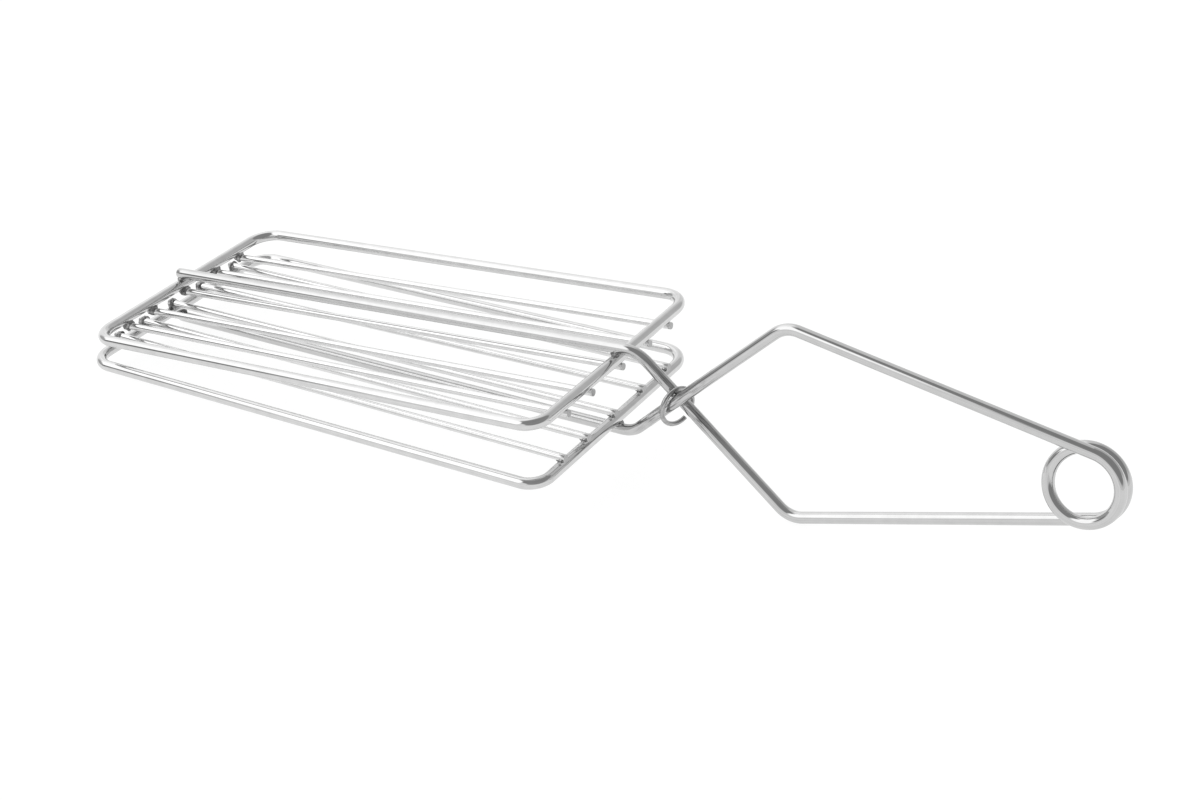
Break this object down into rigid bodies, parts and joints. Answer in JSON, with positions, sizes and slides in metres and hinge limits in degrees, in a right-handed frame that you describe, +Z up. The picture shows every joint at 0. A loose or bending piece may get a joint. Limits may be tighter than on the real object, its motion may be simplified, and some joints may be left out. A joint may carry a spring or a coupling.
{
  "type": "spring-closed wire test tube holder",
  "caption": "Wire tongs with two long wire-grid jaws on crossed arms, a kite-shaped squeeze handle, a ring at the crossing and a coil spring at the end that holds the jaws shut.",
  "frame": {"origin": "centre of the footprint on the bench, as the tool lies on its lower jaw's tip and its lower handle's bend", "axes": "+X from the jaw tips to the coil, +Y across the jaws, +Z up, square to the bench"},
  "size_m": [0.3764, 0.0986, 0.0648],
  "materials": {
    "frame_wire": "bright drawn wire, lightly streaked",
    "grid_wire": "bright drawn wire, cut ends",
    "spring_wire": "polished spring wire",
    "ring_wire": "drawn wire, cut ends"
  },
  "bodies": {
    "lower_jaw": {"lower_jaw_frame": "frame_wire", "lower_grid_wire_1": "grid_wire", "lower_grid_wire_2": "grid_wire", "lower_grid_wire_3": "grid_wire", "lower_grid_wire_4": "grid_wire", "lower_grid_wire_5": "grid_wire", "lower_jaw_arm": "spring_wire", "spring_coil": "spring_wire"},
    "upper_jaw": {"upper_jaw_frame": "frame_wire", "upper_grid_wire_1": "grid_wire", "upper_grid_wire_2": "grid_wire", "upper_grid_wire_3": "grid_wire", "upper_grid_wire_4": "grid_wire", "upper_grid_wire_5": "grid_wire", "upper_jaw_arm": "spring_wire"},
    "ring": {"crossing_ring": "ring_wire"}
  },
  "joints": [
    {"name": "jaw_opening", "type": "hinge", "parent": "lower_jaw", "child": "upper_jaw", "pos_m": [0.17499, 0.00029, 0.04027], "axis": [0.0199, 0.965, -0.2614], "range_deg": [0, 16], "stiffness_Nm_per_rad": 12, "springref_deg": -3.44, "deforming": ["spring_coil"]},
    {"name": "ring_travel", "type": "slide", "parent": "lower_jaw", "child": "ring", "axis": [0.7206, 0.1633, 0.6738], "range_m": [0, 0.0282]}
  ],
  "couplings": [
    {"joint": "ring_travel", "follows": "jaw_opening", "m_per_rad": 0.1}
  ]
}
